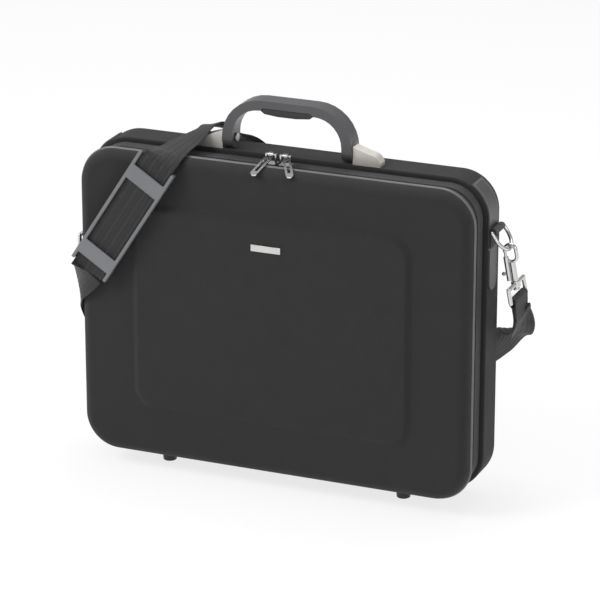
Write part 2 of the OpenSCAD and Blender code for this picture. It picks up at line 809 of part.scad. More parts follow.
rear_shell();
rear_zip_tape();
rear_zip_teeth();
rear_lining();
rear_pad(1);  // rear_pad_top
rear_pad(3);  // rear_pad_bottom
rear_pad(2);  // rear_pad_left
rear_pad(0);  // rear_pad_right
elastic_band();
hinge_strip();
handle_plate();
bracket(-1);  // bracket_left
bracket(1);  // bracket_right
bracket_screws();
handle_pin(-1);  // handle_pin_left
handle_pin(1);  // handle_pin_right
side_patch(-1);  // side_patch_left
side_patch(1);  // side_patch_right
ring_holder(-1);  // ring_holder_left
ring_holder(1);  // ring_holder_right
foot(-1, foot_front_y);  // foot_front_left
foot(1, foot_front_y);  // foot_front_right
foot(-1, foot_rear_y);  // foot_rear_left
foot(1, foot_rear_y);  // foot_rear_right
foot_screws();
lid_shell();
lid_piping();
lid_zip_tape();
lid_zip_teeth();
lid_lining();
lid_pad(1);  // lid_pad_top
lid_pad(3);  // lid_pad_bottom
lid_pad(2);  // lid_pad_left
lid_pad(0);  // lid_pad_right
lid_pocket();
name_plate();
handle_frame();
handle_grip();
slider(slider_x[0]);  // slider_left
slider(slider_x[1]);  // slider_right
pull(slider_x[0], pull_lean[0]);  // pull_left
pull(slider_x[1], pull_lean[1]);  // pull_right
d_ring(-1);  // d_ring_left
d_ring(1);  // d_ring_right
bail(-1);  // bail_left
bail(1);  // bail_right
strap_loop(-1);  // strap_loop_left
strap_loop(1);  // strap_loop_right
hook(-1);  // hook_left
hook(1);  // hook_right
bolt(-1);  // bolt_left
bolt(1);  // bolt_right
bolt_spring(-1);  // bolt_spring_left
bolt_spring(1);  // bolt_spring_right
webbing(0, front_from);  // strap_left
webbing(front_from, back_from);  // strap_front
webbing(back_from, len(strap_route) - 1);  // strap_back
shoulder_pad();
pad_frame();
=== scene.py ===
import math

import bmesh
import bpy
from mathutils import Matrix, Vector


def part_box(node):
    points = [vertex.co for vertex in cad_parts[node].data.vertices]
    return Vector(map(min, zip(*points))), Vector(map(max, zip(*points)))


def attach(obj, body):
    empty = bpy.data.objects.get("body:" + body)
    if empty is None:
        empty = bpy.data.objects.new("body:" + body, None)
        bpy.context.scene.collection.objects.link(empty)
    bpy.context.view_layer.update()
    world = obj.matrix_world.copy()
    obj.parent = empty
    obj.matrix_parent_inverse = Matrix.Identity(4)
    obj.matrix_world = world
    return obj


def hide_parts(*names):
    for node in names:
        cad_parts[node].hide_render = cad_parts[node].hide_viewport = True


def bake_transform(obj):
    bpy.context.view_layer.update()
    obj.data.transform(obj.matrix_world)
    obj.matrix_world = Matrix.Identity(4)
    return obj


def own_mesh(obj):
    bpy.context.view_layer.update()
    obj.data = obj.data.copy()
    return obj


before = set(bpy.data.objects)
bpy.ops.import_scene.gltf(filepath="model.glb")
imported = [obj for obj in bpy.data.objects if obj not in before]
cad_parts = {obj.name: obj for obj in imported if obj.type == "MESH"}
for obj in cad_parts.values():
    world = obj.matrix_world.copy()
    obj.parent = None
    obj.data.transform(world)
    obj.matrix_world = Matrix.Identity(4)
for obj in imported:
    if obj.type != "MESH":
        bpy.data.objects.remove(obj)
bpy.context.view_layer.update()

scene = bpy.context.scene


# ---------------------------------------------------------------- studio
# A flat white floor, a large soft lamp high on the left, a weaker one on the
# right, and a long lens at the photograph's angle.
def plain_material(name, colour, roughness=0.6):
    material = bpy.data.materials.new(name)
    material.use_nodes = True
    shader = material.node_tree.nodes["Principled BSDF"]
    shader.inputs["Base Color"].default_value = (*colour, 1)
    shader.inputs["Roughness"].default_value = roughness
    return material


def clear_selection():
    if bpy.context.object and bpy.context.object.mode != "OBJECT":
        bpy.ops.object.mode_set(mode="OBJECT")
    bpy.ops.object.select_all(action="DESELECT")


def make_white_floor():
    clear_selection()
    bpy.ops.mesh.primitive_plane_add(size=30, location=(0, 0, 0))
    floor = bpy.context.object
    floor.name = "studio_floor"
    material = bpy.data.materials.new("studio_white")
    material.use_nodes = True
    nodes, links = material.node_tree.nodes, material.node_tree.links
    nodes.clear()
    output = nodes.new("ShaderNodeOutputMaterial")
    seen = nodes.new("ShaderNodeLightPath")
    either = nodes.new("ShaderNodeMath")
    either.operation = "MAXIMUM"
    share = nodes.new("ShaderNodeMath")
    share.operation = "MULTIPLY"
    share.inputs[1].default_value = 0.72
    paint = nodes.new("ShaderNodeBsdfDiffuse")
    paint.inputs["Color"].default_value = (0.9, 0.9, 0.9, 1)
    glow = nodes.new("ShaderNodeEmission")
    glow.inputs["Color"].default_value = (1, 1, 1, 1)
    glow.inputs["Strength"].default_value = 1.08
    mix = nodes.new("ShaderNodeMixShader")
    links.new(seen.outputs["Is Camera Ray"], either.inputs[0])
    links.new(seen.outputs["Is Glossy Ray"], either.inputs[1])
    links.new(either.outputs[0], share.inputs[0])
    links.new(share.outputs[0], mix.inputs[0])
    links.new(paint.outputs[0], mix.inputs[1])
    links.new(glow.outputs[0], mix.inputs[2])
    links.new(mix.outputs[0], output.inputs["Surface"])
    floor.data.materials.append(material)


def light_the_room():
    world = bpy.data.worlds.new("studio_air")
    scene.world = world
    world.use_nodes = True
    nodes, links = world.node_tree.nodes, world.node_tree.links
    nodes.clear()
    output = nodes.new("ShaderNodeOutputWorld")
    seen = nodes.new("ShaderNodeLightPath")
    either = nodes.new("ShaderNodeMath")
    either.operation = "MAXIMUM"
    soft = nodes.new("ShaderNodeBackground")
    soft.inputs["Strength"].default_value = 0.55
    white = nodes.new("ShaderNodeBackground")
    white.inputs["Strength"].default_value = 1.0
    mix = nodes.new("ShaderNodeMixShader")
    links.new(seen.outputs["Is Camera Ray"], either.inputs[0])
    links.new(seen.outputs["Is Transmission Ray"], either.inputs[1])
    links.new(either.outputs[0], mix.inputs[0])
    links.new(soft.outputs[0], mix.inputs[1])
    links.new(white.outputs[0], mix.inputs[2])
    links.new(mix.outputs[0], output.inputs["Surface"])


def hang_lamp(name, place, aim, size, power):
    data = bpy.data.lights.new(name, "AREA")
    data.shape = "SQUARE"
    data.size = size
    data.energy = power
    lamp = bpy.data.objects.new(name, data)
    scene.collection.objects.link(lamp)
    lamp.location = place
    lamp.rotation_euler = (Vector(aim) - Vector(place)).to_track_quat("-Z", "Y").to_euler()


def set_camera():
    yaw, pitch = math.radians(22.45), math.radians(20)
    ahead = Vector((-math.sin(yaw) * math.cos(pitch), math.cos(yaw) * math.cos(pitch), -math.sin(pitch)))
    target, distance = Vector((0.0156, -0.001, 0.2023)), 3.5
    data = bpy.data.cameras.new("studio_camera")
    data.sensor_width = 36
    data.lens = 200.7
    camera = bpy.data.objects.new("studio_camera", data)
    scene.collection.objects.link(camera)
    camera.location = target - ahead * distance
    camera.rotation_euler = ahead.to_track_quat("-Z", "Y").to_euler()
    scene.camera = camera


make_white_floor()
light_the_room()
case_middle = (0, 0, 0.19)
hang_lamp("lamp_left", (-1.7, -1.5, 2.1), case_middle, 1.3, 42)
hang_lamp("lamp_right", (2.2, -1.2, 1.2), case_middle, 1.2, 9)
hang_lamp("lamp_top", (0.1, 0.5, 2.4), case_middle, 1.4, 22)
set_camera()
scene.view_settings.view_transform = "Standard"


# ---------------------------------------------------------------- rear shell
# The deep half is moulded foam board, 6 mm thick, covered in black woven
# polyester drawn over its rounded back edge. Its rim turns in as a seam lip,
# and two tabs carry the front feet.
class Nodes:
    """Short calls for a material's node tree."""

    def __init__(self, name, colour, roughness):
        self.material = plain_material(name, colour, roughness)
        self.tree = self.material.node_tree
        self.shader = self.tree.nodes["Principled BSDF"]

    def set(self, **values):
        for name, value in values.items():
            self.shader.inputs[name.replace("_", " ")].default_value = value
        return self

    def put(self, socket, value):
        if isinstance(value, bpy.types.NodeSocket):
            self.tree.links.new(value, socket)
        else:
            socket.default_value = value

    def maths(self, operation, *values):
        node = self.tree.nodes.new("ShaderNodeMath")
        node.operation = operation
        for socket, value in zip(node.inputs, values):
            self.put(socket, value)
        return node.outputs[0]

    def choose(self, factor, low, high):
        node = self.tree.nodes.new("ShaderNodeMix")
        node.data_type = "FLOAT"
        for socket, value in zip((node.inputs[0], node.inputs[2], node.inputs[3]), (factor, low, high)):
            self.put(socket, value)
        return node.outputs[0]

    def colours(self, factor, low, high):
        node = self.tree.nodes.new("ShaderNodeMix")
        node.data_type = "RGBA"
        self.put(node.inputs[0], factor)
        for socket, value in zip((node.inputs[6], node.inputs[7]), (low, high)):
            self.put(socket, value if isinstance(value, bpy.types.NodeSocket) else (*value, 1))
        return node.outputs[2]

    def noise(self, scale, detail=2.0, vector=None):
        node = self.tree.nodes.new("ShaderNodeTexNoise")
        node.inputs["Scale"].default_value = scale
        node.inputs["Detail"].default_value = detail
        self.put(node.inputs["Vector"], vector or self.place())
        return node.outputs[0]

    def stretched(self, x, y, z):
        """The object's coordinates, scaled apart along each axis."""
        node = self.tree.nodes.new("ShaderNodeMapping")
        node.inputs["Scale"].default_value = (x, y, z)
        self.put(node.inputs["Vector"], self.place())
        return node.outputs[0]

    def cells(self, scale):
        node = self.tree.nodes.new("ShaderNodeTexVoronoi")
        node.inputs["Scale"].default_value = scale
        self.put(node.inputs["Vector"], self.place())
        return node.outputs["Distance"]

    def place(self):
        return self.tree.nodes.new("ShaderNodeTexCoord").outputs["Object"]

    def flat_place(self):
        """Across and up the cloth, whichever way the face looks."""
        here = self.tree.nodes.new("ShaderNodeSeparateXYZ")
        self.put(here.inputs[0], self.place())
        facing = self.tree.nodes.new("ShaderNodeSeparateXYZ")
        self.put(facing.inputs[0], self.tree.nodes.new("ShaderNodeTexCoord").outputs["Normal"])
        side = self.maths("GREATER_THAN", self.maths("ABSOLUTE", facing.outputs[0]), 0.7)
        level = self.maths("GREATER_THAN", self.maths("ABSOLUTE", facing.outputs[2]), 0.7)
        return (self.choose(side, here.outputs[0], here.outputs[1]),
                self.choose(level, here.outputs[2], here.outputs[1]))

    def wrapped_place(self):
        """Across and along a strap, from its own map."""
        here = self.tree.nodes.new("ShaderNodeSeparateXYZ")
        self.put(here.inputs[0], self.tree.nodes.new("ShaderNodeUVMap").outputs[0])
        return here.outputs[0], here.outputs[1]

    def raise_by(self, height, distance, strength=1.0):
        node = self.tree.nodes.new("ShaderNodeBump")
        node.inputs["Strength"].default_value = strength
        node.inputs["Distance"].default_value = distance
        self.put(node.inputs["Height"], height)
        self.put(self.shader.inputs["Normal"], node.outputs[0])

    def paint(self, colour):
        self.put(self.shader.inputs["Base Color"], colour)

    def gloss(self, roughness):
        self.put(self.shader.inputs["Roughness"], roughness)


def shaded(colour, factor):
    return tuple(min(1.0, part * factor) for part in colour)


def woven(name, colour, thread, contrast=0.45, sheen=0.25, roughness=0.75, on_strap=False):
    """Plain weave: threads pass over and under each other at one pitch. The crests are painted lighter and
    the hollows darker, as painted shade, mixed with random wear.
    """
    cloth = Nodes(name, colour, roughness)
    across, up = cloth.wrapped_place() if on_strap else cloth.flat_place()
    turn = math.pi / thread
    warp = cloth.maths("SINE", cloth.maths("MULTIPLY", across, turn))
    weft = cloth.maths("SINE", cloth.maths("MULTIPLY", up, turn))
    over = cloth.maths("GREATER_THAN", cloth.maths("MULTIPLY", warp, weft), 0)
    height = cloth.choose(over, cloth.maths("ABSOLUTE", warp), cloth.maths("ABSOLUTE", weft))
    worn = cloth.noise(38, 4)
    # Painted shade: the hollows between threads are darker and the crests lighter, times a random wear noise.
    painted_thread_shade_and_wear = cloth.maths("MULTIPLY", height, cloth.choose(worn, 0.6, 1.25))
    cloth.paint(cloth.colours(painted_thread_shade_and_wear, shaded(colour, 1 - contrast), shaded(colour, 1 + contrast)))
    cloth.gloss(cloth.choose(worn, roughness - 0.12, roughness + 0.1))
    cloth.raise_by(height, thread * 0.45, 0.7)
    cloth.set(Sheen_Weight=sheen, Sheen_Roughness=0.45)
    return cloth.material


def dress(piece, material):
    piece.data.materials.clear()
    piece.data.materials.append(material)


def smooth(piece, angle=32):
    clear_selection()
    piece.select_set(True)
    bpy.context.view_layer.objects.active = piece
    bpy.ops.object.shade_smooth_by_angle(angle=math.radians(angle))
    even = piece.modifiers.new("even", "WEIGHTED_NORMAL")
    even.keep_sharp = True
    bpy.ops.object.modifier_apply(modifier="even")


def settle(piece):
    """Puts the piece's place into its mesh."""
    clear_selection()
    piece.select_set(True)
    bpy.context.view_layer.objects.active = piece
    bpy.ops.object.transform_apply(location=True, rotation=True, scale=True)


def block(name, low, high):
    clear_selection()
    middle = [(a + b) / 2 for a, b in zip(low, high)]
    bpy.ops.mesh.primitive_cube_add(size=1, location=middle)
    piece = bpy.context.object
    piece.name = name
    piece.scale = [b - a for a, b in zip(low, high)]
    settle(piece)
    return piece


def pick(piece, test, kind="FACE"):
    """Selects faces or edges, in edit mode, by a test on their middle and direction."""
    bpy.ops.object.mode_set(mode="EDIT")
    bpy.ops.mesh.select_mode(type=kind)
    bpy.ops.mesh.select_all(action="DESELECT")
    mesh = bmesh.from_edit_mesh(piece.data)
    if kind == "FACE":
        for face in mesh.faces:
            face.select_set(test(face.calc_center_median(), face.normal))
    else:
        for edge in mesh.edges:
            a, b = edge.verts[0].co, edge.verts[1].co
            edge.select_set(test((a + b) / 2, (b - a).normalized()))
    bmesh.update_edit_mesh(piece.data)


def done(piece):
    bpy.ops.object.mode_set(mode="OBJECT")
    return piece


def rounded_block(name, low, high, corner):
    """A block with rounded corners, as seen along Y."""
    piece = block(name, low, high)
    pick(piece, lambda at, way: abs(way.y) > 0.9, "EDGE")
    bpy.ops.mesh.bevel(offset=corner, segments=18, affect="EDGES")
    return done(piece)


def round_rim(piece, y, radius, segments):
    """Rounds the whole edge of a rounded block at one end."""
    pick(piece, lambda at, way: abs(at.y - y) < 1e-5, "EDGE")
    bpy.ops.mesh.bevel(offset=radius, segments=segments, affect="EDGES")
    return done(piece)


def hollow(piece, test, wall, depth):
    """Insets the chosen end face by the wall and pushes it in."""
    pick(piece, test)
    bpy.ops.mesh.inset(thickness=wall, depth=0)
    bpy.ops.mesh.extrude_region_move(TRANSFORM_OT_translate={"value": (0, depth, 0)})
    return done(piece)


def joined(name, pieces):
    clear_selection()
    for piece in pieces:
        piece.select_set(True)
    bpy.context.view_layer.objects.active = pieces[0]
    bpy.ops.object.join()
    pieces[0].name = name
    return pieces[0]


half_width, half_height, corner_radius, middle_height = 0.220, 0.170, 0.040, 0.186
lid_face, zip_line, seam_line, back_face = -0.045, -0.016, 0.001, 0.048


def case_ring(inset, y0, y1):
    """Corners of the case's outline, moved in, between two places along Y."""
    w, h = half_width - inset, half_height - inset
    return (-w, y0, middle_height - h), (w, y1, middle_height + h), corner_radius - inset


def make_rear_shell(cloth):
    inset, back_round, seam_round, lip, floor = -0.0007, 0.014, 0.0025, 0.0082, 0.041
    low, high, corner = case_ring(inset, seam_line, back_face)
    shell = rounded_block("rear_shell_cover", low, high, corner)
    round_rim(shell, back_face, back_round, 8)
    round_rim(shell, seam_line, seam_round, 3)
    hollow(shell, lambda at, way: way.y < -0.9 and at.y < seam_line + 1e-4, lip - seam_round,
           floor - seam_line)
    tabs = [block("tab", (x - 0.011, -0.0135, 0.0153), (x + 0.011, 0.006, 0.0193)) for x in (-0.135, 0.135)]
    for tab in tabs:
        soften(tab, 0.001, 2)
    shell = joined("rear_shell_cover", [shell, *tabs])
    smooth(shell)
    dress(shell, cloth)
    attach(shell, "rear")
    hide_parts("rear_shell")


def soften(piece, width, segments=3, angle=30):
    clear_selection()
    piece.select_set(True)
    bpy.context.view_layer.objects.active = piece
    rounding = piece.modifiers.new("rounding", "BEVEL")
    rounding.width = width
    rounding.segments = segments
    rounding.limit_method = "ANGLE"
    rounding.angle_limit = math.radians(angle)
    rounding.use_clamp_overlap = True
    bpy.ops.object.modifier_apply(modifier="rounding")
    return piece


case_cloth = woven("black_polyester", (0.0125, 0.0125, 0.0135), 0.0009, 0.7, 0.07)
make_rear_shell(case_cloth)


# ---------------------------------------------------------------- lid
# The shallow half is the same board and cloth. Its face carries a raised panel
# with soft sloping edges, pressed into the foam, and its rim steps in behind
# a groove for the piping.
def make_lid(cloth):
    inset, edge_round, wall_end, flange_end = 0.0015, 0.012, -0.034, -0.0288
    step, lip, floor = 0.003, 0.003, -0.039
    low, high, corner = case_ring(inset, lid_face, wall_end)
    shell = rounded_block("lid_shell_cover", low, high, corner)
    round_rim(shell, lid_face, edge_round, 9)
    pick(shell, lambda at, way: way.y > 0.9 and at.y > wall_end - 1e-4)
    bpy.ops.mesh.inset(thickness=step, depth=0)
    bpy.ops.mesh.extrude_region_move(TRANSFORM_OT_translate={"value": (0, flange_end - wall_end, 0)})
    bpy.ops.mesh.inset(thickness=lip, depth=0)
    bpy.ops.mesh.extrude_region_move(TRANSFORM_OT_translate={"value": (0, floor - flange_end, 0)})
    done(shell)
    panel = rounded_block("panel", (-0.158, lid_face, 0.071), (0.158, lid_face + 0.003, 0.304), 0.026)
    pick(panel, lambda at, way: way.y < -0.9)
    slope, rise, steps = 0.009, 0.0035, 8
    ease = [0.5 - 0.5 * math.cos(math.pi * k / steps) for k in range(steps + 1)]
    for low_share, high_share in zip(ease, ease[1:]):
        bpy.ops.mesh.inset(thickness=slope / steps, depth=(high_share - low_share) * rise)
    done(panel)
    shell = joined("lid_shell_cover", [shell, panel])
    smooth(shell)
    dress(shell, cloth)
    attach(shell, "lid")
    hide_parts("lid_shell")


make_lid(case_cloth)


# ---------------------------------------------------------------- piping
# A round welt of grey coated cloth, sewn into the groove round the lid. It is
# a cord wrapped in one strip, so it shows a fine crosswise grain.
def outline_path(name, inset, y, radius, segments=20):
    """A wire round the case's outline, as a tube."""
    low, high, corner = case_ring(inset, y, y)
    clear_selection()
    bpy.ops.mesh.primitive_plane_add(size=1, location=(0, y, middle_height), rotation=(math.pi / 2, 0, 0))
    wire = bpy.context.object
    wire.name = name
    wire.scale = (high[0] - low[0], high[2] - low[2], 1)
    settle(wire)
    bpy.ops.object.mode_set(mode="EDIT")
    bpy.ops.mesh.select_all(action="SELECT")
    bpy.ops.mesh.bevel(offset=corner, segments=segments, affect="VERTICES")
    bpy.ops.mesh.delete(type="ONLY_FACE")
    bpy.ops.object.mode_set(mode="OBJECT")
    bpy.ops.object.convert(target="CURVE")
    wire = bpy.context.object
    wire.data.bevel_depth = radius
    wire.data.bevel_resolution = 5
    bpy.ops.object.convert(target="MESH")
    return bpy.context.object


def coated_cloth():
    welt = Nodes("grey_welt", (0.14, 0.14, 0.145), 0.42)
    grain = welt.noise(900, 2)
    soiled = welt.noise(25, 4)
    welt.paint(welt.colours(soiled, (0.105, 0.105, 0.11), (0.18, 0.18, 0.185)))
    welt.gloss(welt.choose(grain, 0.32, 0.52))
    welt.raise_by(grain, 0.0003, 0.5)
    welt.set(Coat_Weight=0.15)
    return welt.material


def make_piping():
    wire = 0.0022
    welt = outline_path("welt", wire, -0.031, wire)
    bpy.ops.object.shade_smooth()
    dress(welt, coated_cloth())
    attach(welt, "lid")
    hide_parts("lid_piping")


make_piping()


# ---------------------------------------------------------------- zip
# Two woven tapes close the gap between the halves. Each carries a black coil,
# whose turns mesh with the other's, all round except at the fabric hinge.
def merged_copy(node, name):
    """A solid's own mesh, joined up, as a new piece."""
    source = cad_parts[node]
    piece = bpy.data.objects.new(name, source.data.copy())
    scene.collection.objects.link(piece)
    clear_selection()
    piece.select_set(True)
    bpy.context.view_layer.objects.active = piece
    bpy.ops.object.mode_set(mode="EDIT")
    bpy.ops.mesh.select_all(action="SELECT")
    bpy.ops.mesh.remove_doubles(threshold=2e-6)
    bpy.ops.mesh.dissolve_limited(angle_limit=math.radians(0.6))
    bpy.ops.mesh.normals_make_consistent(inside=False)
    bpy.ops.object.mode_set(mode="OBJECT")
    return piece


def finished(node, body, material, edge=0.0, segments=3, angle=32):
    """The solid of a node with its hard edges eased, in its own finish."""
    piece = merged_copy(node, node + "_finished")
    if edge:
        soften(piece, edge, segments)
    smooth(piece, angle)
    dress(piece, material)
    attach(piece, body)
    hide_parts(node)
    return piece


def stamped(name, pattern, places):
    """Copies one small piece to many places, as one mesh."""
    points, faces = [], []
    count = len(pattern.data.vertices)
    for k, place in enumerate(places):
        points.extend(place @ vertex.co for vertex in pattern.data.vertices)
        faces.extend([k * count + v for v in face.vertices] for face in pattern.data.polygons)
    mesh = bpy.data.meshes.new(name)
    mesh.from_pydata([tuple(p) for p in points], [], faces)
    mesh.validate()
    piece = bpy.data.objects.new(name, mesh)
    scene.collection.objects.link(piece)
    bpy.data.objects.remove(pattern)
    return piece


def along_outline(inset, pitch, start, y):
    """Places at one pitch round the outline, from the hinge's end to the other."""
    w, h, r = half_width - inset, half_height - inset, corner_radius - inset
    cx, cz = w - r, h - r
    spans = [("line", Vector((start, 0, -h)), Vector((cx, 0, -h)), None),
             ("arc", Vector((cx, 0, -cz)), -90, 0),
             ("line", Vector((w, 0, -cz)), Vector((w, 0, cz)), None),
             ("arc", Vector((cx, 0, cz)), 0, 90),
             ("line", Vector((cx, 0, h)), Vector((-cx, 0, h)), None),
             ("arc", Vector((-cx, 0, cz)), 90, 180),
             ("line", Vector((-w, 0, cz)), Vector((-w, 0, -cz)), None),
             ("arc", Vector((-cx, 0, -cz)), 180, 270),
             ("line", Vector((-cx, 0, -h)), Vector((-start, 0, -h)), None)]
    places = []
    for kind, a, b, c in spans:
        length = (b - a).length if kind == "line" else r * math.pi / 2
        for k in range(max(1, round(length / pitch))):
            s = (k + 0.5) * length / max(1, round(length / pitch))
            if kind == "line":
                way = (b - a).normalized()
                point = a + way * s
            else:
                turn = math.radians(b + (c - b) * s / length)
                point = a + Vector((math.cos(turn), 0, math.sin(turn))) * r
                way = Vector((-math.sin(turn), 0, math.cos(turn)))
            out = Vector((way.z, 0, -way.x))
            basis = Matrix((way, Vector((0, 1, 0)), out)).transposed().to_4x4()
            places.append(Matrix.Translation(point + Vector((0, y, middle_height))) @ basis)
    return places


def make_zip():
    tape = woven("zip_tape_weave", (0.014, 0.014, 0.0155), 0.0008, 0.5, 0.2, 0.7)
    coil = Nodes("zip_coil", (0.022, 0.022, 0.024), 0.32)
    coil.gloss(coil.choose(coil.noise(400), 0.25, 0.42))
    for node, body in (("rear_zip_tape", "rear"), ("lid_zip_tape", "lid")):
        finished(node, body, tape, 0.0003, 2)
    inset, pitch, start = 0.0053, 0.0017, 0.175
    for node, body, y in (("rear_zip_teeth", "rear", -0.0151), ("lid_zip_teeth", "lid", -0.0169)):
        turn = block("turn", (-0.00045, -0.0008, -0.0009), (0.00045, 0.0008, 0.0009))
        soften(turn, 0.0003, 1)
        teeth = stamped(node + "_coil", turn, along_outline(inset, pitch, start, y))
        smooth(teeth, 60)
        dress(teeth, coil.material)
        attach(teeth, body)
        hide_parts(node)


make_zip()


# ---------------------------------------------------------------- hinge strip
# A strip of the case's cloth runs along the bottom, outside both tapes, where the
# zip's line would be. On the real case it folds there when the lid opens; here it
# is a flat, finely cut block.
def make_hinge_strip(cloth):
    low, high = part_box("hinge_strip")
    strip = block("hinge_strip_cloth", low, high)
    bpy.ops.object.mode_set(mode="EDIT")
    bpy.ops.mesh.select_all(action="SELECT")
    bpy.ops.mesh.subdivide(number_cuts=23)
    done(strip)
    smooth(strip)
    dress(strip, cloth)
    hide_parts("hinge_strip")
    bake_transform(strip)


make_hinge_strip(case_cloth)


# ---------------------------------------------------------------- linings
# Both halves are lined with grey brushed cloth over foam. The walls are firm
# and the floors are sewn in channels, so that they sit a little crowned.
def brushed_lining():
    nap = Nodes("grey_brushed_lining", (0.17, 0.17, 0.18), 0.9)
    fuzz = nap.noise(700, 3)
    drift = nap.noise(14, 3)
    nap.paint(nap.colours(nap.maths("MULTIPLY", fuzz, drift), (0.11, 0.11, 0.12), (0.30, 0.30, 0.31)))
    nap.raise_by(fuzz, 0.0005, 0.6)
    nap.set(Sheen_Weight=0.5, Sheen_Roughness=0.6)
    return nap.material


def quilted_floor(name, y, face, half_x, half_z, channels):
    """A crowned pad sewn in upright channels; face is +1 towards the back."""
    clear_selection()
    across, up = 96, 60
    bpy.ops.mesh.primitive_grid_add(x_subdivisions=across, y_subdivisions=up, size=2,
                                    rotation=(math.pi / 2, 0, 0))
    pad = bpy.context.object
    pad.name = name
    settle(pad)
    for vertex in pad.data.vertices:
        u, v = vertex.co.x, vertex.co.z
        edge = min(1, (1 - abs(u)) * 9) * min(1, (1 - abs(v)) * 7)
        crown = abs(math.sin(math.pi * channels * (u + 1) / 2)) ** 0.5
        puff = 0.0018 * (max(0, edge) ** 0.5) * (0.25 + 0.75 * crown)
        vertex.co = (u * half_x, y + face * puff, middle_height + v * half_z)
    return pad


def make_lining(node, body, y_open, y_back, face, cloth):
    inset, wall, floor, channels = 0.0079, 0.005, 0.005, 9
    low, high, corner = case_ring(inset, min(y_open, y_back), max(y_open, y_back))
    tray = rounded_block(node + "_tray", low, high, corner)
    opening = (lambda at, way: way.y < -0.9) if face < 0 else (lambda at, way: way.y > 0.9)
    depth = (y_back - y_open) - (floor if y_back > y_open else -floor)
    hollow(tray, opening, wall, depth)
    soften(tray, 0.0012, 3)
    bottom = y_open + depth
    pad = quilted_floor("floor", bottom + face * 0.0002, face, half_width - inset - wall - 0.0002,
                        half_height - inset - wall - 0.0002, channels)
    trim_corners(pad, corner - wall)
    tray = joined(node + "_tray", [tray, pad])
    smooth(tray, 40)
    dress(tray, cloth)
    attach(tray, body)
    walls = [node.replace("lining", "pad_") + side for side in ("top", "bottom", "left", "right")]
    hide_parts(node, *walls)


def trim_corners(pad, corner):
    """Draws a rectangular sheet's corners in to the case's round ones."""
    w = max(v.co.x for v in pad.data.vertices)
    h = max(v.co.z for v in pad.data.vertices) - middle_height
    for vertex in pad.data.vertices:
        x, z = vertex.co.x, vertex.co.z - middle_height
        dx, dz = abs(x) - (w - corner), abs(z) - (h - corner)
        if dx > 0 and dz > 0:
            reach = math.hypot(dx, dz)
            square = max(dx, dz)
            keep = square / reach
            vertex.co.x = math.copysign(w - corner + dx * keep, x)
            vertex.co.z = middle_height + math.copysign(h - corner + dz * keep, z)


lining_cloth = brushed_lining()
make_lining("rear_lining", "rear", -0.015, 0.0408, -1, lining_cloth)
make_lining("lid_lining", "lid", -0.017, -0.0388, 1, lining_cloth)


# ---------------------------------------------------------------- elastic band
# A wide ribbed elastic crosses the rear compartment and holds the computer
# against the foam. Its ends are sewn into the lining's side walls.
def frames_along(middle, across):
    """Place, width direction, outward direction and distance run, at each step."""
    frames, run = [], 0.0
    last = len(middle) - 1
    for k, place in enumerate(middle):
        way = (middle[min(k + 1, last)] - middle[max(k - 1, 0)]).normalized()
        side = (across[k] - way * across[k].dot(way)).normalized()
        run += (place - middle[k - 1]).length if k else 0
        frames.append((place, side, side.cross(way), run))
    return frames


def band_section(ribs):
    """Half the thickness at each place across a ribbed band, in shares of 1."""
    fine, groove, rise, edge = 6 * ribs, 0.27, 0.23, 0.16
    over = [(k / fine - 0.5, groove + rise * abs(math.sin(math.pi * ribs * k / fine)) ** 0.5)
            for k in range(fine + 1)]
    over[0], over[-1] = (-0.5, edge), (0.5, edge)
    return over + [(a, -b) for a, b in reversed(over)] + over[:1]


def ribbon(name, frames, width, thick, ribs):
    """A woven band along a path, ribbed lengthwise, with a map in metres."""
    section = band_section(ribs)
    round_it, steps = len(section) - 1, len(frames) - 1
    clear_selection()
    bpy.ops.mesh.primitive_grid_add(x_subdivisions=round_it, y_subdivisions=steps, size=2)
    band = bpy.context.object
    band.name = name
    measured = []
    for vertex in band.data.vertices:
        a, b = section[round((vertex.co.x + 1) / 2 * round_it)]
        place, side, outward, run = frames[round((vertex.co.y + 1) / 2 * steps)]
        vertex.co = place + side * (a * width) + outward * (b * thick)
        measured.append((a * width, run))
    cloth_map = band.data.uv_layers[0]
    for loop in band.data.loops:
        cloth_map.data[loop.index].uv = measured[loop.vertex_index]
    bpy.ops.object.mode_set(mode="EDIT")
    bpy.ops.mesh.select_all(action="SELECT")
    bpy.ops.mesh.remove_doubles(threshold=1e-6)
    bpy.ops.mesh.fill_holes(sides=0)
    bpy.ops.mesh.select_all(action="SELECT")
    bpy.ops.mesh.normals_make_consistent(inside=False)
    bpy.ops.object.mode_set(mode="OBJECT")
    clear_selection()
    band.select_set(True)
    bpy.context.view_layer.objects.active = band
    bpy.ops.object.shade_smooth_by_angle(angle=math.radians(50))
    return band


def herringbone(name, colour, rib, thread, roughness=0.62):
    """Twill that slants one way on one rib and the other way on the next. Its ridges are painted lighter and
    its grooves darker, as painted shade, mixed with random wear.
    """
    cloth = Nodes(name, colour, roughness)
    across, along = cloth.wrapped_place()
    slant = cloth.maths("ADD", along, cloth.maths("PINGPONG", across, rib))
    twill = cloth.maths("SINE", cloth.maths("MULTIPLY", slant, 2 * math.pi / thread))
    height = cloth.maths("MULTIPLY", cloth.maths("ADD", twill, 1), 0.5)
    worn = cloth.noise(45, 4)
    # Painted shade: the twill's grooves are darker and its ridges lighter, times a random wear noise.
    painted_thread_shade_and_wear = cloth.maths("MULTIPLY", height, cloth.choose(worn, 0.6, 1.2))
    cloth.paint(cloth.colours(painted_thread_shade_and_wear, shaded(colour, 0.5), shaded(colour, 1.7)))
    cloth.gloss(cloth.choose(worn, roughness - 0.1, roughness + 0.1))
    cloth.raise_by(height, 0.0004, 0.6)
    cloth.set(Sheen_Weight=0.2, Sheen_Roughness=0.4)
    return cloth.material


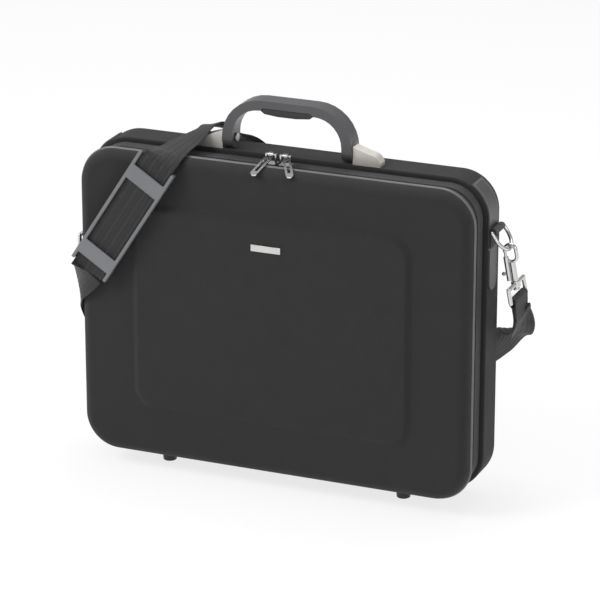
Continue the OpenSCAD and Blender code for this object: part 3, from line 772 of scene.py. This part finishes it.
def make_elastic_band():
    low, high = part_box("elastic_band")
    middle_z, y = (low[2] + high[2]) / 2, (low[1] + high[1]) / 2
    steps = 60
    middle = [Vector((low[0] + (high[0] - low[0]) * k / steps, y, middle_z)) for k in range(steps + 1)]
    band = ribbon("elastic_band_weave", frames_along(middle, [Vector((0, 0, 1))] * len(middle)),
                  high[2] - low[2], high[1] - low[1], 10)
    dress(band, herringbone("black_elastic", (0.03, 0.03, 0.033), 0.0032, 0.0014))
    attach(band, "rear")
    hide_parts("elastic_band")


make_elastic_band()


# ---------------------------------------------------------------- lid pocket
# The document pocket is a flat bag of black cloth, sewn to the lid's lining at
# its sides and bottom. Its mouth is bound with a doubled tape.
def make_lid_pocket():
    low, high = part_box("lid_pocket")
    sheet, tape = 0.0012, 0.009
    pocket = block("lid_pocket_bag", low, high)
    pick(pocket, lambda at, way: way.z > 0.9 or way.y < -0.9)
    bpy.ops.mesh.delete(type="FACE")
    bpy.ops.mesh.select_all(action="SELECT")
    bpy.ops.mesh.subdivide(number_cuts=40)
    done(pocket)
    for vertex in pocket.data.vertices:
        if vertex.co.y > high[1] - 1e-4:
            u, v = vertex.co.x / high[0], (vertex.co.z - low[2]) / (high[2] - low[2])
            belly = max(0, 1 - u * u) * v * (1.1 + 0.25 * math.sin(9 * u + 4 * v))
            vertex.co.y += 0.0012 * belly
    clear_selection()
    pocket.select_set(True)
    bpy.context.view_layer.objects.active = pocket
    cloth = pocket.modifiers.new("cloth", "SOLIDIFY")
    cloth.thickness = sheet
    bpy.ops.object.modifier_apply(modifier="cloth")
    smooth(pocket)
    dress(pocket, woven("pocket_cloth", (0.035, 0.035, 0.04), 0.0011, 0.5))
    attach(pocket, "lid")
    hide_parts("lid_pocket")
    steps = 60
    middle = [Vector((low[0] + (high[0] - low[0]) * k / steps, high[1] - sheet / 2, high[2] - tape / 2))
              for k in range(steps + 1)]
    for place in middle:
        place.y += 0.0012 * 1.1 * max(0, 1 - (place.x / high[0]) ** 2)
    binding = ribbon("lid_pocket_binding", frames_along(middle, [Vector((0, 0, 1))] * len(middle)),
                     tape, 0.0028, 3)
    dress(binding, herringbone("binding_tape", (0.05, 0.05, 0.055), 0.003, 0.0016))
    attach(binding, "lid")


make_lid_pocket()


# ---------------------------------------------------------------- name plate
# A small bare plate of brushed nickel is pressed on to the lid's panel.
def metal(name, colour, roughness, brushed=None):
    """Bare metal with faint handling marks, brushed along one axis if asked."""
    bare = Nodes(name, colour, roughness).set(Metallic=1.0)
    handled = bare.noise(55, 4)
    fine = bare.noise(1, 3, bare.stretched(*brushed)) if brushed else bare.noise(1100, 2)
    bare.paint(bare.colours(handled, shaded(colour, 0.86), shaded(colour, 1.06)))
    bare.gloss(bare.choose(fine, roughness * 0.7, roughness * 1.35))
    bare.raise_by(fine, 0.00008 if brushed else 0.00003, 0.35)
    return bare.material


brushed_nickel = metal("brushed_nickel", (0.66, 0.66, 0.65), 0.3, (60, 60, 2600))
finished("name_plate", "lid", brushed_nickel, 0.0003, 2)


# ---------------------------------------------------------------- carry handle
# A stiff moulded bow, dark grey and finely grained, turns on two steel pins.
# A softer grip, dotted for the fingers, is let in under its bridge.
def moulded(name, colour, roughness, grain=1500, depth=0.00006):
    plastic = Nodes(name, colour, roughness)
    pebble = plastic.cells(grain)
    handled = plastic.noise(30, 4)
    plastic.paint(plastic.colours(handled, shaded(colour, 0.85), shaded(colour, 1.12)))
    plastic.gloss(plastic.choose(handled, roughness - 0.07, roughness + 0.08))
    plastic.raise_by(pebble, depth, 0.6)
    return plastic.material


def make_grip(rubber):
    grip = merged_copy("handle_grip", "handle_grip_dotted")
    soften(grip, 0.0008, 2)
    low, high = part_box("handle_grip")
    pitch, radius, rows = 0.0034, 0.0008, 5
    clear_selection()
    bpy.ops.mesh.primitive_uv_sphere_add(segments=10, ring_count=5, radius=radius)
    dot = bpy.context.object
    places = []
    for k in range(-7, 8):
        shift = (high[0] + low[0]) / 2 + k * pitch
        rise = 0.0 if abs(shift) < 0.010 else (abs(shift) - 0.010) * 0.1
        places.append(Matrix.Translation((shift, low[1] + 0.0002, low[2] + 0.0026 + rise / 2)))
        for row in range(rows):
            y = (low[1] + high[1]) / 2 + (row - (rows - 1) / 2) * pitch
            places.append(Matrix.Translation((shift, y, low[2] + 0.0002 + rise)))
    grip = joined("handle_grip_dotted", [grip, stamped("dots", dot, places)])
    smooth(grip, 50)
    dress(grip, rubber)
    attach(grip, "handle")
    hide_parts("handle_grip")


handle_plastic = moulded("grained_grey_plastic", (0.085, 0.085, 0.09), 0.3)
finished("handle_frame", "handle", handle_plastic, 0.0028, 4)
make_grip(moulded("soft_grip", (0.035, 0.035, 0.038), 0.6, 2200, 0.00005))


# ---------------------------------------------------------------- handle brackets
# Two cast caps in pale champagne satin hold the pins, screwed through the
# shell to a steel plate inside, whose screws have domed heads.
def fit_handle_brackets():
    cast = metal("champagne_satin", (0.92, 0.89, 0.83), 0.5, (500, 2400, 500))
    steel = metal("plain_steel", (0.52, 0.52, 0.53), 0.38)
    for side in ("left", "right"):
        finished("bracket_" + side, "rear", cast, 0.0012, 4)
        finished("handle_pin_" + side, "rear", steel, 0.0003, 2)
    finished("handle_plate", "rear", steel, 0.0004, 2)
    finished("bracket_screws", "rear", steel, 0.0003, 2)
    return steel


plain_steel = fit_handle_brackets()


# ---------------------------------------------------------------- zip sliders
# Two cast nickel sliders meet near the middle of the top. A flat slotted pull
# hangs on each one's bridge.
nickel = metal("polished_nickel", (0.70, 0.70, 0.69), 0.17)
for pull_side in ("left", "right"):
    finished("slider_" + pull_side, "slider_" + pull_side, nickel, 0.0004, 2)
    finished("pull_" + pull_side, "pull_" + pull_side, nickel, 0.00035, 2)


# ---------------------------------------------------------------- side patches
# A smooth leather-like patch wraps each top corner and ends in a round tab. It
# is sewn down all round with pale thread.
def grained_leather():
    hide = Nodes("grey_leather_patch", (0.075, 0.075, 0.079), 0.45)
    pores = hide.cells(900)
    creases = hide.noise(60, 5)
    hide.paint(hide.colours(creases, (0.055, 0.055, 0.058), (0.10, 0.10, 0.104)))
    hide.gloss(hide.choose(pores, 0.36, 0.52))
    hide.raise_by(pores, 0.00012, 0.7)
    return hide.material


def seam_places(path, outward, pitch):
    """Places for stitches at one pitch along a path, each flat on its face."""
    places, ahead = [], pitch / 2
    for a, b in zip(path, path[1:]):
        span = (b - a).length
        while ahead < span:
            place = a.lerp(b, ahead / span)
            way, out = (b - a).normalized(), outward(place)
            basis = Matrix((way, out.cross(way), out)).transposed().to_4x4()
            places.append(Matrix.Translation(place) @ basis)
            ahead += pitch
        ahead -= span
    return places


def sew(name, places, thread, body, length=0.0021, width=0.0007):
    stitch = block("stitch", (-length / 2, -width / 2, -width / 2), (length / 2, width / 2, width / 2))
    soften(stitch, width * 0.4, 2)
    seam = stamped(name, stitch, places)
    smooth(seam, 60)
    dress(seam, thread)
    if body:
        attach(seam, body)
    return seam


def patch_surface(side, y, height):
    """A place on the patch's face; past the wall's top it goes round the corner."""
    face, wall_top, corner, radius = 0.2222, 0.316, 0.180, 0.0422
    if height <= wall_top:
        return Vector((side * face, y, height))
    turn = (height - wall_top) / radius
    return Vector((side * (corner + radius * math.cos(turn)), y, wall_top + radius * math.sin(turn)))


def patch_outline(side, middle=0.016, wide=0.0118, narrow=0.0088, top=0.3565, step=0.2852, tab=0.248):
    bend = [(middle - narrow * math.cos(math.pi * k / 12), tab - narrow * math.sin(math.pi * k / 12))
            for k in range(13)]
    corners = [(middle - wide, top), (middle - wide, step), (middle - narrow, step), *bend,
               (middle + narrow, step), (middle + wide, step), (middle + wide, top), (middle - wide, top)]
    path = []
    for (y0, h0), (y1, h1) in zip(corners, corners[1:]):
        parts = max(1, round(math.hypot(y1 - y0, h1 - h0) / 0.002))
        path += [patch_surface(side, y0 + (y1 - y0) * k / parts, h0 + (h1 - h0) * k / parts)
                 for k in range(parts)]
    return path


def make_side_patches():
    leather = grained_leather()
    thread = moulded("pale_thread", (0.30, 0.30, 0.30), 0.7, 3000)
    for side, name in ((-1, "left"), (1, "right")):
        finished("side_patch_" + name, "rear", leather, 0.0005, 2)
        outward = lambda at: Vector((side, 0, 0)) if at.z <= 0.316 else \
            Vector((at.x - side * 0.180, 0, at.z - 0.316)).normalized()
        stitches = seam_places(patch_outline(side), outward, 0.003)
        sew("side_patch_seam_" + name, stitches, thread, "rear")
    return thread


pale_thread = make_side_patches()


# ---------------------------------------------------------------- ring holders
# A short tape, folded round the ring's bar, is sewn to each patch with two
# rows of black thread.
def make_ring_holders():
    tape = woven("holder_tape_weave", (0.035, 0.035, 0.038), 0.0010, 0.5, 0.2, 0.7)
    thread = moulded("black_thread", (0.05, 0.05, 0.052), 0.6, 3000)
    for side, name in ((-1, "left"), (1, "right")):
        finished("ring_holder_" + name, "rear", tape, 0.0005, 3)
        face = side * 0.2238
        rows = [seam_places([Vector((face, 0.005, height)), Vector((face, 0.027, height))],
                            lambda at: Vector((side, 0, 0)), 0.0028) for height in (0.2935, 0.2885)]
        sew("ring_holder_seam_" + name, rows[0] + rows[1], thread, "rear")
    return thread


black_thread = make_ring_holders()


# ---------------------------------------------------------------- rings and hooks
# Nickel D-rings carry swivel hooks. A spring lies under each hook's sliding
# bolt, and the bail that takes the webbing turns on the hook's shank.
def hook_place(side, x, z):
    """A place in the hook's own frame, whose origin is on the ring's wire."""
    ring_x, ring_z, tilt = (0.24004, 0.28346, 11) if side > 0 else (0.23431, 0.28045, 3)
    lean = math.radians(tilt)
    return Vector((side * (ring_x + x * math.cos(lean) - z * math.sin(lean)), 0.016,
                   ring_z + x * math.sin(lean) + z * math.cos(lean)))


def wind_spring(side, name, steel):
    """A small coil between the barrel's floor and the bolt."""
    foot, top = hook_place(side, -0.006, -0.0326), hook_place(side, -0.006, -0.0276)
    axis = (top - foot).normalized()
    aside = Vector((0, 1, 0))
    third = axis.cross(aside)
    turns, points, radius, wire = 5, 16, 0.00105, 0.0002
    path = bpy.data.curves.new("bolt_spring_path", "CURVE")
    path.dimensions = "3D"
    coil = path.splines.new("POLY")
    coil.points.add(turns * points)
    for k, point in enumerate(coil.points):
        turn = 2 * math.pi * k / points
        out = (aside * math.cos(turn) + third * math.sin(turn)) * radius
        point.co = (*(foot.lerp(top, k / (turns * points)) + out), 1)
    path.bevel_depth, path.bevel_resolution, path.use_fill_caps = wire, 2, True
    spring = bpy.data.objects.new("bolt_spring_coil_" + name, path)
    scene.collection.objects.link(spring)
    clear_selection()
    spring.select_set(True)
    bpy.context.view_layer.objects.active = spring
    bpy.ops.object.convert(target="MESH")
    spring = bpy.context.object
    smooth(spring, 60)
    dress(spring, steel)
    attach(spring, "hook_" + name)
    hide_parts("bolt_spring_" + name)
    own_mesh(spring)


for ring_side, side_name in ((-1, "left"), (1, "right")):
    for part, part_body in (("d_ring", "ring"), ("bail", "ring"), ("hook", "hook"), ("bolt", "bolt")):
        finished(part + "_" + side_name, part_body + "_" + side_name, nickel, 0.0003, 2, 40)
    wind_spring(ring_side, side_name, plain_steel)


# ---------------------------------------------------------------- shoulder strap
# Ribbed herringbone webbing, 38 mm wide, runs from the left bail round the
# front, over the top and behind the case to the right bail.
pad_middle, pad_along, pad_across = Vector((-0.162, -0.054, 0.2885)), \
    Vector((0.5417, 0, 0.8406)), Vector((-0.8406, 0, 0.5417))


def along_pad(distance):
    return (*(pad_middle + pad_along * distance), 0.84, 0, -0.54)


strap_width, strap_thick, strap_ribs = 0.038, 0.002, 8
strap_route = [
    (-0.2373, 0.016, 0.22372, 0, -1, 0), (-0.2367, 0.016, 0.214, 0, -1, 0),
    (-0.235, 0.016, 0.195, 0, -1, 0), (-0.231, 0.013, 0.165, 0, -1, 0),
    (-0.2286, 0.012, 0.128, 0, -1, 0), (-0.2282, 0.012, 0.118, 0, -1, 0),
    (-0.2253, 0.012, 0.114, 0, -1, 0), (-0.2226, 0.012, 0.118, 0, -1, 0),
    (-0.2226, 0.0115, 0.128, 0, -1, -0.08), (-0.2228, 0.005, 0.146, 0, -0.92, -0.4),
    (-0.2236, -0.012, 0.172, 0, -0.84, -0.54), (-0.2254, -0.024, 0.188, 0.2, -0.8, -0.55),
    (-0.2236, -0.0366, 0.200, 0.5, -0.62, -0.6), (-0.2145, -0.047, 0.2115, 0.74, -0.32, -0.57),
    along_pad(-0.080), along_pad(-0.076), along_pad(-0.050), along_pad(0), along_pad(0.050), along_pad(0.076),
    (-0.117, -0.044, 0.358, 0.95, -0.15, -0.25), (-0.1145, -0.028, 0.3595, 0.95, -0.3, 0),
    (-0.1085, -0.004, 0.364, 0.87, -0.48, 0.1), (-0.0985, 0.022, 0.3723, 0.64, -0.68, 0.3),
    (-0.092, 0.037, 0.3695, 0.66, -0.65, 0.3), (-0.076, 0.051, 0.358, 0.75, -0.45, 0),
    (-0.058, 0.055, 0.338, 0.68, -0.15, 0.5), (-0.035, 0.052, 0.314, 0.6, 0, 0.8),
    (0.060, 0.0515, 0.225, 0.6, 0, 0.8), (0.110, 0.053, 0.176, 0.66, 0.15, 0.74),
    (0.150, 0.060, 0.143, 0.75, 0.45, 0.5), (0.184, 0.069, 0.132, 0.66, 0.75, 0.1),
    (0.209, 0.074, 0.148, 0.3, 0.85, -0.4), (0.228, 0.064, 0.172, 0, 0.8, -0.6),
    (0.245, 0.033, 0.195, 0, 0.93, -0.35), (0.2522, 0.016, 0.212, 0, 1, 0),
    (0.2516, 0.016, 0.220, 0, 1, 0), (0.25088, 0.016, 0.22771, 0, 1, 0)]


def rounded_path(points, steps):
    """A smooth curve through every point."""
    last, path = len(points) - 1, []
    for k in range(last):
        a, b, c, d = points[max(k - 1, 0)], points[k], points[k + 1], points[min(k + 2, last)]
        for s in range(steps):
            t = s / steps
            path.append(0.5 * (2 * b + (c - a) * t + (2 * a - 5 * b + 4 * c - d) * t ** 2
                               + (3 * b - a - 3 * c + d) * t ** 3))
    return path + [points[last]]


def make_strap(webbing, steps=10):
    middle = rounded_path([Vector(stop[:3]) for stop in strap_route], steps)
    across = rounded_path([Vector(stop[3:]) for stop in strap_route], steps)
    frames = frames_along(middle, across)
    stretches = (("strap_below_left_bail", 0, 6, ("ring_left", "rear", 1, 3), "strap_left"),
                 ("strap_up_to_pad", 6, 17, ("rear", "strap", 10, 14), None),
                 ("strap_over_the_top", 17, 27, ("strap", "rear", 20, 27), "strap_front"),
                 ("strap_behind", 27, 33, None, "strap_back"),
                 ("strap_below_right_bail", 33, 37, ("rear", "ring_right", 34, 36), None))
    for name, first, last, bend, node in stretches:
        band = ribbon(name, frames[first * steps:last * steps + 1], strap_width, strap_thick, strap_ribs)
        dress(band, webbing)
        if node:
            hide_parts(node)
        if bend:
            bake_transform(band)
        else:
            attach(band, "rear")


def make_sleeve(side, name, webbing, thread):
    """The webbing's end, turned round the bail's bar and sewn back on itself."""
    bar, inner = -0.052, 0.0035
    down = [(-0.0006, -0.0075), (-0.0027, -0.0033)]
    turn = [(-inner * math.cos(math.pi * k / 10), inner * math.sin(math.pi * k / 10)) for k in range(11)]
    leave = [(0.0027, -0.0033), (0.0022, -0.0075)]
    points = [hook_place(side, x, bar + z) for x, z in down + turn + leave]
    stops = strap_route[:4] if side < 0 else strap_route[:-5:-1]
    lies = rounded_path([Vector(stop[:3]) for stop in stops], 8)
    beside, sewn_to = Vector((side * 0.0021, 0, 0)), 0.198
    points += [place + beside for place in lies if points[-1].z - 0.003 > place.z > sewn_to]
    across = [Vector((0, -side, 0))] * len(points)
    frames = frames_along(points, across)
    sleeve = ribbon("strap_sleeve_" + name, frames, strap_width, strap_thick, strap_ribs)
    dress(sleeve, webbing)
    face = side * strap_thick / 2
    first, last = len(points) - len(lies) // 3, len(points) - 2
    edge = 0.0155
    box = [(first, -edge), (last, -edge), (last, edge), (first, edge), (first, -edge), (last, edge)]
    path = [points[k] + Vector((face, across_it, 0)) for k, across_it in box]
    seam = sew("strap_box_stitch_" + name, seam_places(path, lambda at: Vector((side, 0, 0)), 0.003), thread,
               None)
    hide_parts("strap_loop_" + name)
    for piece in (sleeve, seam):
        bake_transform(piece)


strap_webbing = herringbone("black_ribbed_webbing", (0.014, 0.014, 0.0155), strap_width / strap_ribs, 0.0018)
make_strap(strap_webbing)
for ring_side, side_name in ((-1, "left"), (1, "right")):
    make_sleeve(ring_side, side_name, strap_webbing, black_thread)


# ---------------------------------------------------------------- shoulder pad
# A thin foam pad in black cloth lies under the webbing. A ladder of light grey
# moulded plastic holds the two together, with a rail along each edge.
def make_shoulder_pad():
    length, width, thick = 0.150, 0.046, 0.004
    under = -strap_thick / 2
    pad = block("shoulder_pad_cushion", (-length / 2, -width / 2, under - thick),
                (length / 2, width / 2, under))
    bpy.ops.object.mode_set(mode="EDIT")
    bpy.ops.mesh.select_all(action="SELECT")
    bpy.ops.mesh.subdivide(number_cuts=31)
    done(pad)
    for vertex in pad.data.vertices:
        u, v = vertex.co.x / (length / 2), vertex.co.y / (width / 2)
        crown = max(0, (1 - u ** 6) * (1 - v ** 4)) ** 0.4
        depth = (under - vertex.co.z) / thick
        drawn = 1 - 0.012 * (1 - u * u) * abs(v) ** 6
        vertex.co = (vertex.co.x, vertex.co.y * drawn, under - depth * thick * (0.45 + 0.55 * crown))
    basis = Matrix((pad_along, pad_across, Vector((0, -1, 0)))).transposed().to_4x4()
    pad.data.transform(Matrix.Translation(pad_middle) @ basis)
    smooth(pad, 45)
    dress(pad, woven("pad_cloth", (0.04, 0.04, 0.044), 0.0010, 0.5))
    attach(pad, "strap")
    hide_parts("shoulder_pad")


make_shoulder_pad()
finished("pad_frame", "strap", moulded("light_grey_plastic", (0.185, 0.19, 0.20), 0.38, 1800, 0.00004),
         0.0009, 4)


# ---------------------------------------------------------------- feet
# Four turned feet of hard black plastic stand under the case, each held up by
# one steel screw in its hollow.
foot_plastic = moulded("hard_black_plastic", (0.022, 0.022, 0.024), 0.38, 1600)
for row in ("front", "rear"):
    for side_name in ("left", "right"):
        finished(f"foot_{row}_{side_name}", "rear", foot_plastic, 0.0008, 3)
finished("foot_screws", "rear", plain_steel, 0.0003, 2)
